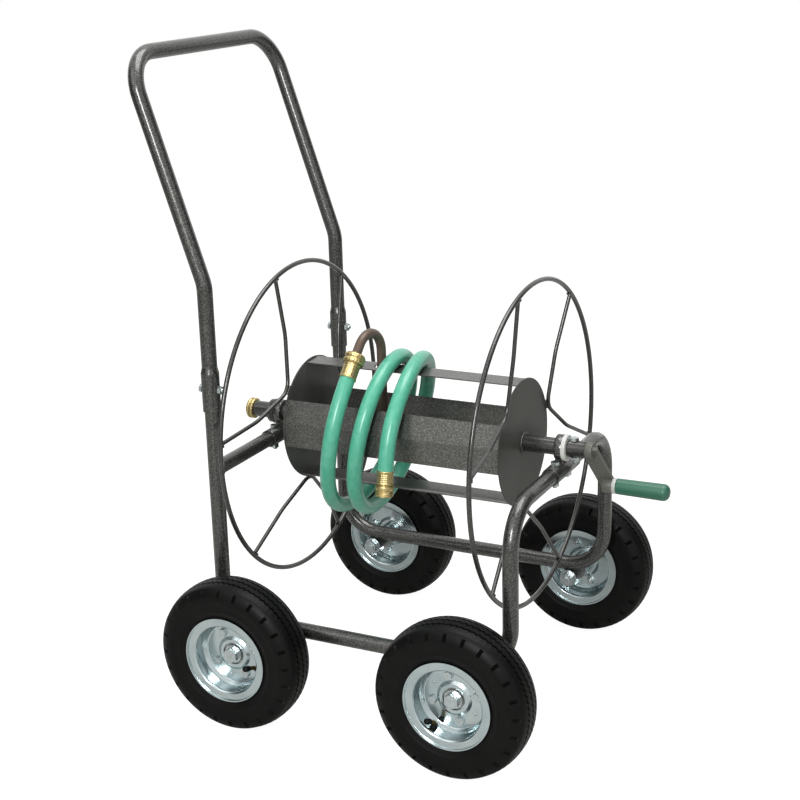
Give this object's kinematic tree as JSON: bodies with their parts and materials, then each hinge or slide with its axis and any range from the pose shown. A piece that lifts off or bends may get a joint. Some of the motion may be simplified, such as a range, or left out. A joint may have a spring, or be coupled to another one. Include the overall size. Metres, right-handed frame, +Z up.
{
  "type": "garden hose reel cart",
  "caption": "Wheeled garden hose reel cart with a bent tube frame, a crank-turned drum between open ring flanges, a swivel water inlet, a gooseneck outlet and a push handle.",
  "frame": {"origin": "on the ground, under the middle of the cart's length and width", "axes": "+X along the reel shaft toward the crank, -X toward the push handle, +Y to the far side, +Z up"},
  "size_m": [0.7106, 0.5798, 0.9565],
  "materials": {
    "hammertone": "charcoal hammertone enamel",
    "disc_paint": "smooth gloss grey enamel",
    "shaft_steel": "charcoal hammertone enamel",
    "arm_steel": "grey enamel",
    "zinc_rim": "bright zinc plate",
    "zinc_fastener": "zinc plate",
    "bearing_steel": "pressed steel",
    "valve_black": "black rubber",
    "tyre_rubber": "black moulded rubber",
    "white_nylon": "white nylon",
    "black_nylon": "black nylon",
    "spacer_nylon": "pale grey nylon",
    "gooseneck_pipe": "brown-grey enamel",
    "brass": "bright turned brass",
    "hose_green": "glossy green hose",
    "washer_rubber": "black rubber",
    "grip_green": "moulded green plastic"
  },
  "bodies": {
    "frame": {"near_side_frame": "hammertone", "far_side_frame": "hammertone", "front_support": "hammertone", "rear_support": "hammertone", "front_bushing": "white_nylon", "rear_bushing": "black_nylon", "handle": "hammertone", "handle_bolts": "zinc_fastener", "support_bolts": "zinc_fastener", "frame_nuts": "zinc_fastener", "axle_bolts": "zinc_fastener", "axle_nuts": "zinc_fastener", "axle_washers": "zinc_fastener"},
    "reel": {"front_disc": "disc_paint", "rear_disc": "disc_paint", "drum_slats": "hammertone", "front_flange": "hammertone", "rear_flange": "hammertone", "reel_shaft": "shaft_steel", "shaft_collar": "shaft_steel", "gooseneck": "gooseneck_pipe", "outlet_swivel": "brass", "hose_ferrule": "brass", "leader_hose": "hose_green", "male_coupling": "brass", "crank_arm": "arm_steel", "crank_bolt": "zinc_fastener", "grip_bolt": "zinc_fastener", "grip_spacer": "spacer_nylon", "inlet_washer": "washer_rubber"},
    "crank_grip": {"crank_grip": "grip_green"},
    "inlet_nut": {"inlet_swivel": "brass"},
    "near_front_wheel": {"near_front_tyre": "tyre_rubber", "near_front_outer_rim": "zinc_rim", "near_front_inner_rim": "zinc_rim", "near_front_hub": "zinc_rim", "near_front_bearings": "bearing_steel", "near_front_rim_fasteners": "zinc_fastener", "near_front_valve_stem": "valve_black"},
    "near_rear_wheel": {"near_rear_tyre": "tyre_rubber", "near_rear_outer_rim": "zinc_rim", "near_rear_inner_rim": "zinc_rim", "near_rear_hub": "zinc_rim", "near_rear_bearings": "bearing_steel", "near_rear_rim_fasteners": "zinc_fastener", "near_rear_valve_stem": "valve_black"},
    "far_front_wheel": {"far_front_tyre": "tyre_rubber", "far_front_outer_rim": "zinc_rim", "far_front_inner_rim": "zinc_rim", "far_front_hub": "zinc_rim", "far_front_bearings": "bearing_steel", "far_front_rim_fasteners": "zinc_fastener", "far_front_valve_stem": "valve_black"},
    "far_rear_wheel": {"far_rear_tyre": "tyre_rubber", "far_rear_outer_rim": "zinc_rim", "far_rear_inner_rim": "zinc_rim", "far_rear_hub": "zinc_rim", "far_rear_bearings": "bearing_steel", "far_rear_rim_fasteners": "zinc_fastener", "far_rear_valve_stem": "valve_black"}
  },
  "joints": [
    {"name": "reel_spin", "type": "hinge", "parent": "frame", "child": "reel", "pos_m": [0, 0, 0.3941], "axis": [1, 0, 0], "continuous": true},
    {"name": "crank_grip_spin", "type": "hinge", "parent": "reel", "child": "crank_grip", "pos_m": [0.31775, 0.0647, 0.3217], "axis": [1, 0, 0], "continuous": true},
    {"name": "inlet_swivel_spin", "type": "hinge", "parent": "reel", "child": "inlet_nut", "pos_m": [-0.29025, 0, 0.3941], "axis": [1, 0, 0], "continuous": true},
    {"name": "near_front_wheel_spin", "type": "hinge", "parent": "frame", "child": "near_front_wheel", "pos_m": [0.16075, -0.253, 0.1125], "axis": [0, 1, 0], "continuous": true},
    {"name": "near_rear_wheel_spin", "type": "hinge", "parent": "frame", "child": "near_rear_wheel", "pos_m": [-0.18525, -0.253, 0.1125], "axis": [0, 1, 0], "continuous": true},
    {"name": "far_front_wheel_spin", "type": "hinge", "parent": "frame", "child": "far_front_wheel", "pos_m": [0.16075, 0.253, 0.1125], "axis": [0, 1, 0], "continuous": true},
    {"name": "far_rear_wheel_spin", "type": "hinge", "parent": "frame", "child": "far_rear_wheel", "pos_m": [-0.18525, 0.253, 0.1125], "axis": [0, 1, 0], "continuous": true}
  ]
}
